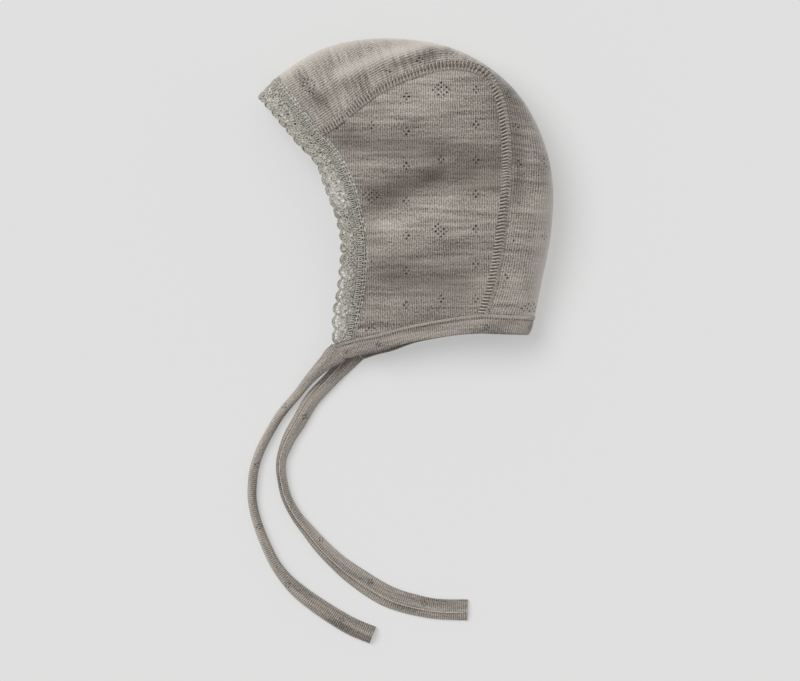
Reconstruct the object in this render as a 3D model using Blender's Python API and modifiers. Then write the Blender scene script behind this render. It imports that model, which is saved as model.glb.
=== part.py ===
"""Knitted baby bonnet, lying on its right side with the two ties laid out below it.

Metres, +Z up. +X runs from the face opening to the back of the head, +Y from the nape to
the crown, and the bonnet rests on the plane z = 0. The left side panel lies uppermost.
Every wall is an open sheet, shaped by the tables below, with a Solidify modifier.
"""
import math
from collections import namedtuple

import bmesh
import bpy
from mathutils import Vector

# Driving sizes
HAT_DEPTH = 0.155
HAT_HEIGHT = 0.166
HAT_THICKNESS = 0.040
KNIT_WALL = 0.0013
BAND_WALL = 0.0024
LACE_WALL = 0.0010
SEAM_GAP = 0.0003
SCALLOP_PITCH = 0.0068
TIE_WIDTH = 0.0115
TIE_WALL = 0.0020

# How the lying bonnet is puffed and pushed
CROWN_LINE = 0.47
ROUNDNESS = 2.3
SIDE_DOME = 0.12
FAR_CORNER_SHIFT = 0.010
FAR_CORNER_REACH = 0.090

# Sections of the centre panel from the forehead over the crown to the nape. The crown line
# is the outline seen from above, near and far are the seams of the upper and lower side.
# x is a share of HAT_DEPTH, y of HAT_HEIGHT and height of HAT_THICKNESS.
Section = namedtuple("Section", "crown_x crown_y near_x near_y far_x far_y height")
SECTIONS = (
    Section(-0.428, 0.385, -0.285, 0.207, -0.285, 0.207, 0.66),
    Section(-0.302, 0.459, -0.200, 0.258, -0.196, 0.274, 0.74),
    Section(-0.169, 0.495, -0.101, 0.328, -0.111, 0.322, 0.82),
    Section(-0.015, 0.500, 0.019, 0.382, -0.019, 0.354, 0.90),
    Section(0.145, 0.475, 0.145, 0.412, 0.080, 0.369, 0.95),
    Section(0.282, 0.411, 0.254, 0.398, 0.172, 0.350, 0.97),
    Section(0.391, 0.315, 0.312, 0.328, 0.251, 0.299, 1.00),
    Section(0.466, 0.185, 0.340, 0.207, 0.299, 0.210, 1.00),
    Section(0.500, 0.041, 0.343, 0.057, 0.326, 0.083, 0.97),
    Section(0.493, -0.118, 0.326, -0.108, 0.319, -0.064, 0.90),
    Section(0.462, -0.271, 0.299, -0.268, 0.292, -0.223, 0.77),
    Section(0.440, -0.376, 0.266, -0.369, 0.266, -0.369, 0.66),
)
# Section at which the seam turns from the side panel's top edge into its back edge
TURN_SECTION = 5

# Edges of the side panel, and of the trim sewn to it. Shares as above.
Edge = namedtuple("Edge", "inner_x inner_y outer_x outer_y height")
FRONT_EDGE = (
    Edge(-0.169, -0.447, -0.244, -0.467, 0.31),
    Edge(-0.148, -0.369, -0.244, -0.373, 0.38),
    Edge(-0.130, -0.261, -0.225, -0.264, 0.48),
    Edge(-0.126, -0.150, -0.217, -0.156, 0.55),
    Edge(-0.142, -0.051, -0.232, -0.070, 0.60),
    Edge(-0.176, 0.064, -0.271, 0.032, 0.65),
    Edge(-0.230, 0.153, -0.304, 0.111, 0.67),
    Edge(-0.285, 0.207, -0.363, 0.169, 0.66),
)
NECK_EDGE = (
    Edge(-0.244, -0.467, -0.203, -0.514, 0.27),
    Edge(-0.169, -0.447, -0.145, -0.500, 0.31),
    Edge(-0.090, -0.432, -0.077, -0.487, 0.42),
    Edge(0.002, -0.409, 0.012, -0.462, 0.50),
    Edge(0.118, -0.389, 0.121, -0.444, 0.56),
    Edge(0.196, -0.377, 0.193, -0.436, 0.61),
    Edge(0.266, -0.369, 0.261, -0.433, 0.66),
)
# Share of the neck edge that lies in front of the side panel, under the lace
LACE_END = 1 / (len(NECK_EDGE) - 1)
# From the crown line's first and last point to the lace's and the band's outer edge
FOREHEAD_REACH = (-0.070, -0.064)
NAPE_REACH = (-0.022, -0.062)

# Folds of the upper walls, from one end to the other, as shares. A dent has a minus.
Fold = namedtuple("Fold", "from_x from_y to_x to_y half_width rise")
FOLDS = (
    Fold(-0.320, 0.330, -0.084, 0.433, 0.035, 0.070),
    Fold(-0.084, 0.433, 0.110, 0.462, 0.030, 0.060),
    Fold(-0.186, 0.153, 0.121, 0.025, 0.100, -0.060),
    Fold(0.121, 0.025, 0.326, 0.041, 0.090, -0.060),
    Fold(0.100, 0.250, 0.210, 0.240, 0.110, 0.050),
    Fold(0.121, -0.180, 0.260, -0.160, 0.100, 0.045),
    Fold(-0.084, -0.325, 0.155, -0.287, 0.050, -0.040),
)

# Routes of the ties, in metres from the band's end. Lift is the share of the upper band
# end's height that the tie still has, and width the share of TIE_WIDTH that shows: less
# than 1 where the knitted tape curls in on itself.
Lay = namedtuple("Lay", "x y lift width")
LEFT_TIE = (
    Lay(0.0000, 0.0000, 1.00, 0.98),
    Lay(-0.0042, -0.0032, 0.94, 0.86),
    Lay(-0.0079, -0.0066, 0.78, 0.68),
    Lay(-0.0154, -0.0143, 0.38, 0.49),
    Lay(-0.0217, -0.0221, 0.10, 0.42),
    Lay(-0.0305, -0.0326, 0.00, 0.41),
    Lay(-0.0368, -0.0428, 0.00, 0.40),
    Lay(-0.0416, -0.0523, 0.00, 0.41),
    Lay(-0.0446, -0.0615, 0.00, 0.43),
    Lay(-0.0457, -0.0694, 0.00, 0.43),
    Lay(-0.0458, -0.0779, 0.00, 0.42),
    Lay(-0.0439, -0.0878, 0.00, 0.43),
    Lay(-0.0398, -0.0994, 0.00, 0.46),
    Lay(-0.0342, -0.1113, 0.00, 0.49),
    Lay(-0.0281, -0.1198, 0.00, 0.57),
    Lay(-0.0212, -0.1267, 0.00, 0.71),
    Lay(-0.0127, -0.1332, 0.00, 0.78),
    Lay(-0.0029, -0.1397, 0.00, 0.81),
    Lay(0.0072, -0.1455, 0.00, 0.83),
    Lay(0.0172, -0.1497, 0.00, 0.83),
)
RIGHT_TIE = (
    Lay(0.0000, 0.0000, 0.00, 0.98),
    Lay(-0.0040, -0.0043, 0.00, 0.88),
    Lay(-0.0087, -0.0095, 0.00, 0.80),
    Lay(-0.0138, -0.0151, 0.00, 0.74),
    Lay(-0.0233, -0.0255, 0.00, 0.74),
    Lay(-0.0304, -0.0375, 0.00, 0.70),
    Lay(-0.0341, -0.0435, 0.00, 0.64),
    Lay(-0.0366, -0.0488, 0.00, 0.58),
    Lay(-0.0390, -0.0557, 0.00, 0.48),
    Lay(-0.0395, -0.0617, 0.00, 0.47),
    Lay(-0.0387, -0.0686, 0.00, 0.46),
    Lay(-0.0364, -0.0774, 0.00, 0.48),
    Lay(-0.0315, -0.0865, 0.00, 0.52),
    Lay(-0.0254, -0.0943, 0.00, 0.60),
    Lay(-0.0175, -0.1036, 0.00, 0.74),
    Lay(-0.0074, -0.1132, 0.00, 0.83),
    Lay(0.0028, -0.1208, 0.00, 0.95),
    Lay(0.0111, -0.1262, 0.00, 0.99),
    Lay(0.0187, -0.1301, 0.00, 0.99),
    Lay(0.0288, -0.1333, 0.00, 0.97),
    Lay(0.0426, -0.1360, 0.00, 0.94),
    Lay(0.0575, -0.1365, 0.00, 0.99),
)

# Rows of the lace from its sewn edge to its scallops, as shares of its width
LACE_ROWS = (0.0, 0.36, 0.56, 0.62, 0.82, 0.92)
SCALLOP_RISE = 0.12
COLUMNS_PER_SCALLOP = 4

# How finely the sheets are divided. A side panel and the centre panel share their stations
# along the seam.
STEPS_PER_SECTION = 3
CENTRE_ROWS = 10
BAND_ROWS = 2
TIE_GRID = (40, 6)

KNIT_COLOUR = (0.296, 0.266, 0.238)
BAND_COLOUR = (0.283, 0.255, 0.231)
LACE_COLOUR = (0.305, 0.287, 0.251)
YARN_ROUGHNESS = 0.9


def smooth(table, share):
    """The row at a share of a table's length, on the smooth curve through all its rows."""
    place = min(max(share, 0.0), 1.0) * (len(table) - 1)
    first = min(int(place), len(table) - 2)
    t = place - first
    weights = (
        (-t + 2 * t ** 2 - t ** 3) / 2,
        (2 - 5 * t ** 2 + 3 * t ** 3) / 2,
        (t + 4 * t ** 2 - 3 * t ** 3) / 2,
        (t ** 3 - t ** 2) / 2,
    )
    rows = [table[min(max(first + step, 0), len(table) - 1)] for step in (-1, 0, 1, 2)]
    return type(table[0])(*(sum(w * v for w, v in zip(weights, column)) for column in zip(*rows)))


def scaled(x_share, y_share, height_share=0.0):
    """A point from its shares of the bonnet's depth, height and thickness."""
    return Vector((x_share * HAT_DEPTH, y_share * HAT_HEIGHT, height_share * HAT_THICKNESS))


def fold_rise(point):
    """How far the folds lift or sink the upper wall at a point."""
    crest = hollow = 0.0
    for fold in FOLDS:
        start = scaled(fold.from_x, fold.from_y)
        line = scaled(fold.to_x, fold.to_y) - start
        along = (Vector((point.x, point.y, 0)) - start).dot(line) / line.length_squared
        foot = start + line * min(max(along, 0.0), 1.0)
        distance = math.hypot(point.x - foot.x, point.y - foot.y)
        rise = fold.rise * math.exp(-(distance / (fold.half_width * HAT_DEPTH)) ** 2)
        crest = max(crest, rise)
        hollow = min(hollow, rise)
    return (crest + hollow) * HAT_THICKNESS


def folded(point, share=1.0):
    """A point of the upper wall, moved by the folds."""
    return point + Vector((0, 0, share * fold_rise(point)))


def laid(point, wall):
    """A point brought down to the lower side, with the front end of its band pushed back."""
    corner = scaled(NECK_EDGE[0].outer_x, NECK_EDGE[0].outer_y)
    distance = math.hypot(point.x - corner.x, point.y - corner.y)
    shift = FAR_CORNER_SHIFT * max(0.0, 1 - distance / FAR_CORNER_REACH) ** 2
    return Vector((point.x + shift, point.y, wall / 2))


def centre_point(along, across, wall=KNIT_WALL, reach=0.0):
    """The centre panel's surface: across is 0 at the upper seam and 1 at the lower one."""
    row = smooth(SECTIONS, along)
    crown = scaled(row.crown_x, row.crown_y, CROWN_LINE * row.height)
    upper = across < 0.5
    if upper:
        foot = scaled(row.near_x, row.near_y, row.height)
    else:
        foot = laid(scaled(row.far_x, row.far_y), wall)
    angle = abs(1 - 2 * across) * math.pi / 2
    outward = math.cos(angle) ** (2 / ROUNDNESS)
    level = math.sin(angle) ** (2 / ROUNDNESS)
    point = foot + (crown - foot) * outward
    point.z = crown.z + (foot.z - crown.z) * level
    if upper:
        point = folded(point, level)
    return point


def edge_point(table, along, outward, wall=None):
    """A point between an edge's inner and outer line, on the lower side if a wall is given."""
    row = smooth(table, along)
    inner = scaled(row.inner_x, row.inner_y, row.height)
    outer = scaled(row.outer_x, row.outer_y, row.height)
    point = inner.lerp(outer, outward)
    return folded(point) if wall is None else laid(point, wall)


def coons(left, right, bottom, top, u, v):
    """The smooth patch between four edges that meet at the corners."""
    across = left(v).lerp(right(v), u)
    upward = bottom(u).lerp(top(u), v)
    corners = bottom(0).lerp(bottom(1), u).lerp(top(0).lerp(top(1), u), v)
    return across + upward - corners


def side_point(u, v, wall=None):
    """A side panel's surface: u runs from the face to the back, v from the neck upward."""
    turn = TURN_SECTION / (len(SECTIONS) - 1)
    seam = 0.0 if wall is None else 1.0
    patch = coons(
        lambda share: edge_point(FRONT_EDGE, share, 0, wall),
        lambda share: centre_point(1 + (turn - 1) * share, seam),
        lambda share: edge_point(NECK_EDGE, LACE_END + (1 - LACE_END) * share, 0, wall),
        lambda share: centre_point(turn * share, seam),
        u, v)
    if wall is None:
        inside = 16 * u * (1 - u) * v * (1 - v)
        patch.z += SIDE_DOME * HAT_THICKNESS * inside + inside ** 0.5 * fold_rise(patch)
    return patch


def lower_side_point(u, v):
    """The lower side panel's surface, flat on the plane that the bonnet lies on."""
    return side_point(u, v, KNIT_WALL)


def evenly(rows, length, count):
    """Rows of points, spread evenly along the line of their first points."""
    spread = []
    step = 0
    passed = 0.0
    for index in range(count + 1):
        target = length * index / count
        span = (rows[step + 1][0] - rows[step][0]).length
        while step < len(rows) - 2 and passed + span < target:
            passed += span
            step += 1
            span = (rows[step + 1][0] - rows[step][0]).length
        share = (target - passed) / span
        spread.append([a.lerp(b, share) for a, b in zip(rows[step], rows[step + 1])])
    return spread


def material(name, colour):
    """A matt yarn material."""
    result = bpy.data.materials.new(name)
    result.use_nodes = True
    shader = result.node_tree.nodes["Principled BSDF"]
    shader.inputs["Base Color"].default_value = (*colour, 1)
    shader.inputs["Roughness"].default_value = YARN_ROUGHNESS
    shader.inputs["Metallic"].default_value = 0.0
    return result


def draw_in(mesh, distance):
    """Moves a sheet's border inward, which leaves the gap to the piece beside it."""
    moves = []
    for vert in mesh.verts:
        if vert.is_boundary:
            centre = sum((face.calc_center_median() for face in vert.link_faces), Vector())
            inward = centre / len(vert.link_faces) - vert.co
            moves.append((vert, inward.normalized() * distance))
    for vert, move in moves:
        vert.co += move


def sheet(name, grid, place, wall, colour, holes=None):
    """A node made of one sheet: a grid whose corners are placed, then given its wall."""
    mesh = bmesh.new()
    bmesh.ops.create_grid(mesh, x_segments=grid[0], y_segments=grid[1], size=0.5)
    cut = []
    for face in mesh.faces:
        centre = face.calc_center_median()
        column = int((centre.x + 0.5) * grid[0])
        row = int((centre.y + 0.5) * grid[1])
        if holes and holes(column, row):
            cut.append(face)
    for vert in mesh.verts:
        vert.co = place(vert.co.x + 0.5, vert.co.y + 0.5)
    draw_in(mesh, SEAM_GAP / 2)
    bmesh.ops.delete(mesh, geom=cut, context="FACES")
    data = bpy.data.meshes.new(name)
    mesh.to_mesh(data)
    mesh.free()
    data.shade_smooth()
    data.materials.append(material(name, colour))
    piece = bpy.data.objects.new(name, data)
    solidify = piece.modifiers.new("wall", "SOLIDIFY")
    solidify.thickness = wall
    solidify.offset = 0
    return piece


def side_grid():
    """Steps of a side panel along its top and up its back, from the seam's sections."""
    back_sections = len(SECTIONS) - 1 - TURN_SECTION
    return TURN_SECTION * STEPS_PER_SECTION, back_sections * STEPS_PER_SECTION


def side_panels():
    """The upper side panel and the lower one, which lies flat."""
    return [
        sheet("side_panel_left", side_grid(), side_point, KNIT_WALL, KNIT_COLOUR),
        sheet("side_panel_right", side_grid(), lower_side_point, KNIT_WALL, KNIT_COLOUR),
    ]


def centre_panel():
    """The long panel from the forehead to the nape."""
    grid = ((len(SECTIONS) - 1) * STEPS_PER_SECTION, CENTRE_ROWS)
    return sheet("centre_panel", grid, centre_point, KNIT_WALL, KNIT_COLOUR)


def edging(table, first, steps, centre_along, reach_out, wall):
    """Pairs of inner and outer points along an opening's whole edge, from front to front.

    The steps are those of the panels that it is sewn to, so that both follow one line.
    """
    shares = [first + (1 - first) * step / steps for step in range(steps)]
    upper = [[edge_point(table, share, outward) for outward in (0, 1)] for share in shares]
    lower = [[edge_point(table, share, outward, wall) for outward in (0, 1)] for share in shares]
    side_reach = edge_point(table, 1, 1) - edge_point(table, 1, 0)
    middle = []
    for step in range(CENTRE_ROWS + 1):
        share = step / CENTRE_ROWS
        inner = centre_point(centre_along, share, wall)
        reach = side_reach.lerp(scaled(*reach_out), math.sin(share * math.pi))
        middle.append([inner, inner + Vector((reach.x, reach.y, 0))])
    return upper + middle + lower[::-1]


def lace_trim():
    """The scalloped stretch lace round the face opening, pierced in two rows."""
    edge = edging(FRONT_EDGE, 0, side_grid()[1], 0, FOREHEAD_REACH, LACE_WALL)
    rim_length = sum((after[0] - before[0]).length for before, after in zip(edge, edge[1:]))
    columns = round(rim_length / SCALLOP_PITCH) * COLUMNS_PER_SCALLOP
    rim = evenly(edge, rim_length, columns)

    def place(u, v):
        column = round(u * columns)
        row = round(v * (len(LACE_ROWS) - 1))
        outward = LACE_ROWS[row]
        if row == len(LACE_ROWS) - 1:
            outward += SCALLOP_RISE * math.sin(math.pi * column / COLUMNS_PER_SCALLOP) ** 2
        inner, outer = rim[column]
        return inner.lerp(outer, outward)

    def holes(column, row):
        middle = column % COLUMNS_PER_SCALLOP in (1, 2)
        at_end = column < COLUMNS_PER_SCALLOP // 2 or column >= columns - COLUMNS_PER_SCALLOP // 2
        return (row == 3 and middle) or (row == 1 and not middle and not at_end)

    return sheet("lace_trim", (columns, len(LACE_ROWS) - 1), place, LACE_WALL, LACE_COLOUR, holes)


def neck_band():
    """The folded band along the neck edge, from one front end round the nape to the other."""
    band = edging(NECK_EDGE, LACE_END, side_grid()[0], 1, NAPE_REACH, BAND_WALL)
    band.insert(0, [edge_point(NECK_EDGE, 0, outward) for outward in (0, 1)])
    band.append([edge_point(NECK_EDGE, 0, outward, BAND_WALL) for outward in (0, 1)])
    steps = len(band) - 1

    def place(u, v):
        inner, outer = band[round(u * steps)]
        return inner.lerp(outer, v)

    return sheet("neck_band", (steps, BAND_ROWS), place, BAND_WALL, BAND_COLOUR)


def curl_angle(width):
    """Half the angle that a tape turns through where it shows a share of its width."""
    if width <= 2 / math.pi:
        return 1 / width
    low, high = 0.01, math.pi / 2
    for _ in range(30):
        middle = (low + high) / 2
        if math.sin(middle) / middle > width:
            low = middle
        else:
            high = middle
    return low


def tie(name, route, start, height):
    """A flat knitted tape on its route, curled in where it shows less than its width."""
    step = 0.004
    clear = Vector((route[1].x, route[1].y, 0)).normalized() * SEAM_GAP

    def centre(share):
        row = smooth(route, share)
        return start + clear + Vector((row.x, row.y, 0)), row

    def place(u, v):
        middle, row = centre(u)
        heading = (centre(u + step)[0] - centre(u - step)[0]).normalized()
        sideways = heading.cross(Vector((0, 0, 1)))
        curl = curl_angle(min(row.width, 0.995))
        radius = TIE_WIDTH / (2 * curl)
        turn = curl * (2 * v - 1)
        underside = row.lift * (height - TIE_WALL / 2)
        lift = underside + TIE_WALL / 2 + radius * (math.cos(turn) - math.cos(curl))
        return middle + sideways * radius * math.sin(turn) + Vector((0, 0, lift))

    return sheet(name, TIE_GRID, place, TIE_WALL, BAND_COLOUR)


def ties():
    """The two ties, which go on from the ends of the band."""
    upper_end = (edge_point(NECK_EDGE, 0, 0) + edge_point(NECK_EDGE, 0, 1)) / 2
    lower_end = (edge_point(NECK_EDGE, 0, 0, BAND_WALL) + edge_point(NECK_EDGE, 0, 1, BAND_WALL)) / 2
    height = upper_end.z
    upper_end.z = lower_end.z = 0
    return [tie("tie_left", LEFT_TIE, upper_end, height),
            tie("tie_right", RIGHT_TIE, lower_end, height)]


def centre_on_origin(collection, bonnet):
    """Sets the middle of the bonnet's outline, without the ties, on the origin."""
    bpy.context.view_layer.update()
    graph = bpy.context.evaluated_depsgraph_get()
    corners = [Vector(corner) for piece in bonnet for corner in piece.evaluated_get(graph).bound_box]
    frame = bpy.data.objects.new("bonnet_frame", None)
    collection.objects.link(frame)
    for axis in (0, 1):
        places = [corner[axis] for corner in corners]
        frame.location[axis] = -(min(places) + max(places)) / 2
    frame.location.z = -min(corner.z for corner in corners)
    for piece in collection.objects:
        if piece is not frame:
            piece.parent = frame


def main():
    for leftover in list(bpy.data.objects):
        bpy.data.objects.remove(leftover)
    collection = bpy.data.collections.new("knitted_baby_bonnet")
    bpy.context.scene.collection.children.link(collection)
    bonnet = side_panels() + [centre_panel(), lace_trim(), neck_band()]
    for piece in bonnet + ties():
        collection.objects.link(piece)
    centre_on_origin(collection, bonnet)


main()
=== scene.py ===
"""Looks of the knitted pointelle bonnet: knitted panels, lace, band, ties and seam threads.

Metres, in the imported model's frame: +X from the face opening to the back of the head,
+Y from the nape to the crown, +Z up from the floor that the bonnet lies on.
"""
import math
from collections import namedtuple

import bpy
import numpy as np
from mathutils import Matrix, Vector
from mathutils.kdtree import KDTree


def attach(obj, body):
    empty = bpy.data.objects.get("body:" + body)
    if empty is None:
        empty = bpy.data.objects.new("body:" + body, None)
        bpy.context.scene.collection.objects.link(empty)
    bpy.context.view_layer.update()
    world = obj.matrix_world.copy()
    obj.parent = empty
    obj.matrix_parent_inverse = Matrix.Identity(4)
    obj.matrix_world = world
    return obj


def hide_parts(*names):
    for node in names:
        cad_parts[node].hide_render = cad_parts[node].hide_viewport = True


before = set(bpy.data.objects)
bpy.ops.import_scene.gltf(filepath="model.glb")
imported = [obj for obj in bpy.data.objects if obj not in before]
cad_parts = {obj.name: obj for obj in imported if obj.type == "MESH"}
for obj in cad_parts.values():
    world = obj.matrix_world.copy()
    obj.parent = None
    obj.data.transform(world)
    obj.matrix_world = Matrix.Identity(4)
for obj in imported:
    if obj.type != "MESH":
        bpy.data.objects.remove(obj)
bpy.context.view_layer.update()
bpy.ops.object.select_all(action="DESELECT")

# Sizes of the bonnet, as in the part
HAT_DEPTH = 0.155
HAT_HEIGHT = 0.166
HAT_THICKNESS = 0.040
KNIT_WALL = 0.0013
BAND_WALL = 0.0024
LACE_WALL = 0.0010
SEAM_GAP = 0.0003
SCALLOP_PITCH = 0.0068
TIE_WIDTH = 0.0115
TIE_SHEET = 0.0013
TIE_STEPS = 34
CROWN_LINE = 0.47
ROUNDNESS = 2.3
SIDE_DOME = 0.12
FAR_CORNER_SHIFT = 0.010
FAR_CORNER_REACH = 0.090

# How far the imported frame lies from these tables' own middle
FRAME_SHIFT = (-0.000387, 0.000694, 0.0)

# Knit and sewing
MM = 0.001
WALE = 0.00118
WALE_EASE = 0.92
TIE_RIB = 0.00108
RIB_DEPTH = 0.00010
PUCKER_RISE = 0.00022
SLACK_RISE = 0.00032
SIDE_SPAN = (0.085, 0.120)
CENTRE_SPAN = 0.070
SIDE_GRID = (140, 204)
CENTRE_GRID = (98, 420)
RIBBON_STEPS = 900
TIE_POINTS = 600
KNIT_CELL = 0.0007
HOLE_RADIUS = 0.00057
HOLE_MARGIN = 6
# Painted shade on the corners round each eyelet, so the holes read dark whatever shows through them
HOLE_PAINTED_SHADE = 0.12
EYELET_PITCH = (0.0182, 0.0182)
EYELET_SWAY = 0.0034
SIDE_EYELETS = (-0.0172, 0.0524)
LOWER_EYELETS_SHIFT = 0.0045
CENTRE_EYELETS = (0.0220, -0.0098)
CENTRE_PITCH = (0.0164, 0.0198)
PIT_STEP = 0.0011
PIT_RADIUS = 0.00045
PIT_DEPTH = 0.0006
SEAM_LENGTH = 0.200
SEAM_PITCH = 0.0018
SEAM_HALF_WIDTH = 0.0028
SEAM_RISE = 0.0009
FRONT_LEAN = 0.0005
BACK_LEAN = -0.0013
STITCH_PITCH = 0.00145
BAND_WIDTH = 0.0105
HEADER_WIDTH = 0.0050
LACE_WIDTH = 0.0141
RUNG_PITCH = 0.00115
ROSETTE_LINE = 0.0083
SCALLOP_INSET = 0.0018
SCALLOP_DEPTH = 0.0020
HEADER_CELL = 0.0006
GROUND_CELL = 0.00045
MARK_REACH = 0.004
THREAD_STEP = 0.0008
LACE_SEED = 7

# Walls of the thin sheets and radii of the threads
SEAM_BED_WALL = 0.0006
HEADER_WALL = 0.0007
GROUND_WALL = 0.00045
SEAM_THREAD = 0.00026
FINE_SEAM_THREAD = 0.00021
TIE_SEAM_THREAD = 0.00028
HEADER_THREAD = 0.00024
NET_THREAD = 0.00015
ROSETTE_THREAD = 0.00030
SCALLOP_THREAD = 0.00033

# The photograph's frame, seen straight down
FRAME_WIDTH = 0.424
FRAME_CENTRE = (-0.0028, -0.0748)
LENS = 300
SENSOR = 36

# Light
WINDOW_LIGHT = 1.95
ROOM_LIGHT = 0.42
FLOOR_GLOW = 0.373


def thousandths(kind, *rows):
    """A table whose numbers are given in thousandths: shares of the bonnet's size, or amounts of painted
    light and shade.
    """
    return [kind(*(value / 1000 for value in row)) for row in rows]


def tie_route(*rows):
    """A tie's line in tenths of a millimetre, with its shown width and its lift in hundredths."""
    return [Lay(x / 10000, y / 10000, width / 100, lift / 100) for x, y, width, lift in rows]


Section = namedtuple("Section", "crown_x crown_y near_x near_y far_x far_y height")
SECTIONS = thousandths(
    Section,
    (-428, 385, -285, 207, -285, 207, 660),
    (-302, 459, -200, 258, -196, 274, 740),
    (-169, 495, -101, 328, -111, 322, 820),
    (-15, 500, 19, 382, -19, 354, 900),
    (145, 475, 145, 412, 80, 369, 950),
    (282, 411, 254, 398, 172, 350, 970),
    (391, 315, 312, 328, 251, 299, 1000),
    (466, 185, 340, 207, 299, 210, 1000),
    (500, 41, 343, 57, 326, 83, 970),
    (493, -118, 326, -108, 319, -64, 900),
    (462, -271, 299, -268, 292, -223, 770),
    (440, -376, 266, -369, 266, -369, 660),
)
TURN = 5 / (len(SECTIONS) - 1)

Edge = namedtuple("Edge", "inner_x inner_y outer_x outer_y height")
FRONT_EDGE = thousandths(
    Edge,
    (-169, -447, -244, -467, 310),
    (-148, -369, -244, -373, 380),
    (-130, -261, -225, -264, 480),
    (-126, -150, -217, -156, 550),
    (-142, -51, -232, -70, 600),
    (-176, 64, -271, 32, 650),
    (-230, 153, -304, 111, 670),
    (-285, 207, -363, 169, 660),
)
NECK_EDGE = thousandths(
    Edge,
    (-244, -467, -203, -514, 270),
    (-169, -447, -145, -500, 310),
    (-90, -432, -77, -487, 420),
    (2, -409, 12, -462, 500),
    (118, -389, 121, -444, 560),
    (196, -377, 193, -436, 610),
    (266, -369, 261, -433, 660),
)
LACE_END = 1 / (len(NECK_EDGE) - 1)
FOREHEAD_REACH = (-0.070, -0.064)
NAPE_REACH = (-0.022, -0.062)

Fold = namedtuple("Fold", "from_x from_y to_x to_y half_width amount")
FOLDS = thousandths(
    Fold,
    (-320, 329, -84, 434, 35, 85),
    (-84, 434, 111, 479, 30, 70),
    (-214, 166, 121, 121, 45, -70),
    (-91, -32, 138, 51, 60, -110),
    (138, 51, 327, 77, 55, -90),
    (-32, 287, 224, 287, 120, 60),
    (-32, -134, 241, -109, 110, 55),
    (-111, -319, 173, -326, 75, -75),
    (320, 351, 402, 233, 35, -60),
    (402, 233, 395, -6, 35, -60),
)
# Small creases that only the cloth shows
CREASES = thousandths(
    Fold,
    (-205, 330, -190, 215, 12, 16),
    (-70, 250, 60, 215, 20, -12),
    (40, 130, 180, 150, 18, 10),
    (-110, 10, 20, -40, 24, -12),
    (150, -60, 290, -75, 18, -12),
    (-80, -180, 70, -200, 22, 10),
    (380, 60, 470, 40, 14, -12),
    (370, -130, 460, -150, 12, -10),
    (60, 440, 150, 445, 12, -20),
)
# Painted shade and painted highlights on the cloth: darker where folds and creases lie in shade, paler on
# the lit crown ridge and along the back rim
PAINTED_LIGHT_AND_SHADE = thousandths(
    Fold,
    (-357, 390, -344, 377, 24, 260),
    (-303, 319, -275, 307, 24, 260),
    (-248, 214, -221, 179, 30, 200),
    (-185, 170, 121, 137, 60, 400),
    (121, 137, 299, 121, 65, 320),
    (-77, 0, 121, 73, 58, 540),
    (121, 73, 344, 54, 60, 440),
    (350, 351, 371, 32, 60, 430),
    (-56, -246, 173, -275, 80, 380),
    (-32, 415, 145, 463, 20, 400),
    (429, -105, 480, -105, 12, 160),
    (-180, -326, 258, -374, 55, 80),
    (-180, 26, -104, -134, 45, 160),
    (-221, 390, -67, 447, 22, -500),
    (-67, 450, 121, 488, 20, -650),
    (-15, 313, 156, 338, 50, -180),
    (-43, -102, 121, -48, 60, -200),
    (378, -278, 429, -383, 40, -220),
    (467, -22, 446, -326, 35, -320),
)
# Painted light and shade along the lace: paler lengths where the bright floor shows through the net, and a
# darker length where shade shows through it
LACE_PAINTED_LIGHT_AND_SHADE = thousandths(
    Fold,
    (-255, 48, -210, -16, 36, -550),
    (-205, -60, -212, -180, 45, 300),
    (-220, -290, -232, -430, 50, -200),
)

Lay = namedtuple("Lay", "x y width lift")
LEFT_TIE = tie_route(
    (0, 0, 98, 100), (-42, -32, 86, 94), (-79, -66, 68, 78), (-154, -143, 49, 38),
    (-217, -221, 42, 10), (-305, -326, 41, 0), (-368, -428, 40, 0), (-416, -523, 41, 0),
    (-446, -615, 43, 0), (-457, -694, 43, 0), (-458, -779, 42, 0), (-439, -878, 43, 0),
    (-398, -994, 46, 0), (-342, -1113, 49, 0), (-281, -1198, 57, 0), (-212, -1267, 71, 0),
    (-127, -1332, 78, 0), (-29, -1397, 81, 0), (72, -1455, 83, 0), (181, -1500, 83, 0),
)
RIGHT_TIE = tie_route(
    (0, 0, 98, 0), (-40, -43, 88, 0), (-87, -95, 80, 0), (-138, -151, 74, 0),
    (-233, -255, 74, 0), (-304, -375, 70, 0), (-341, -435, 64, 0), (-366, -488, 58, 0),
    (-390, -557, 48, 0), (-395, -617, 47, 0), (-387, -686, 46, 0), (-364, -774, 48, 0),
    (-315, -865, 52, 0), (-254, -943, 60, 0), (-175, -1036, 74, 0), (-74, -1132, 83, 0),
    (28, -1208, 95, 0), (111, -1262, 99, 0), (187, -1301, 99, 0), (288, -1333, 97, 0),
    (426, -1360, 94, 0), (593, -1366, 97, 0),
)


# The bonnet's surfaces. Shares and distances are arrays, and points have x, y and z last.

def smooth(table, share):
    """The row at each share of a table's length, on the smooth curve through its rows."""
    rows = np.array(table)
    place = np.clip(share, 0.0, 1.0) * (len(rows) - 1)
    first = np.minimum(place.astype(int), len(rows) - 2)
    t = (place - first)[..., None]
    weights = (
        (-t + 2 * t ** 2 - t ** 3) / 2,
        (2 - 5 * t ** 2 + 3 * t ** 3) / 2,
        (t + 4 * t ** 2 - 3 * t ** 3) / 2,
        (t ** 3 - t ** 2) / 2,
    )
    near = [rows[np.clip(first + step, 0, len(rows) - 1)] for step in (-1, 0, 1, 2)]
    blend = sum(weight * row for weight, row in zip(weights, near))
    return type(table[0])(*np.moveaxis(blend, -1, 0))


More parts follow.
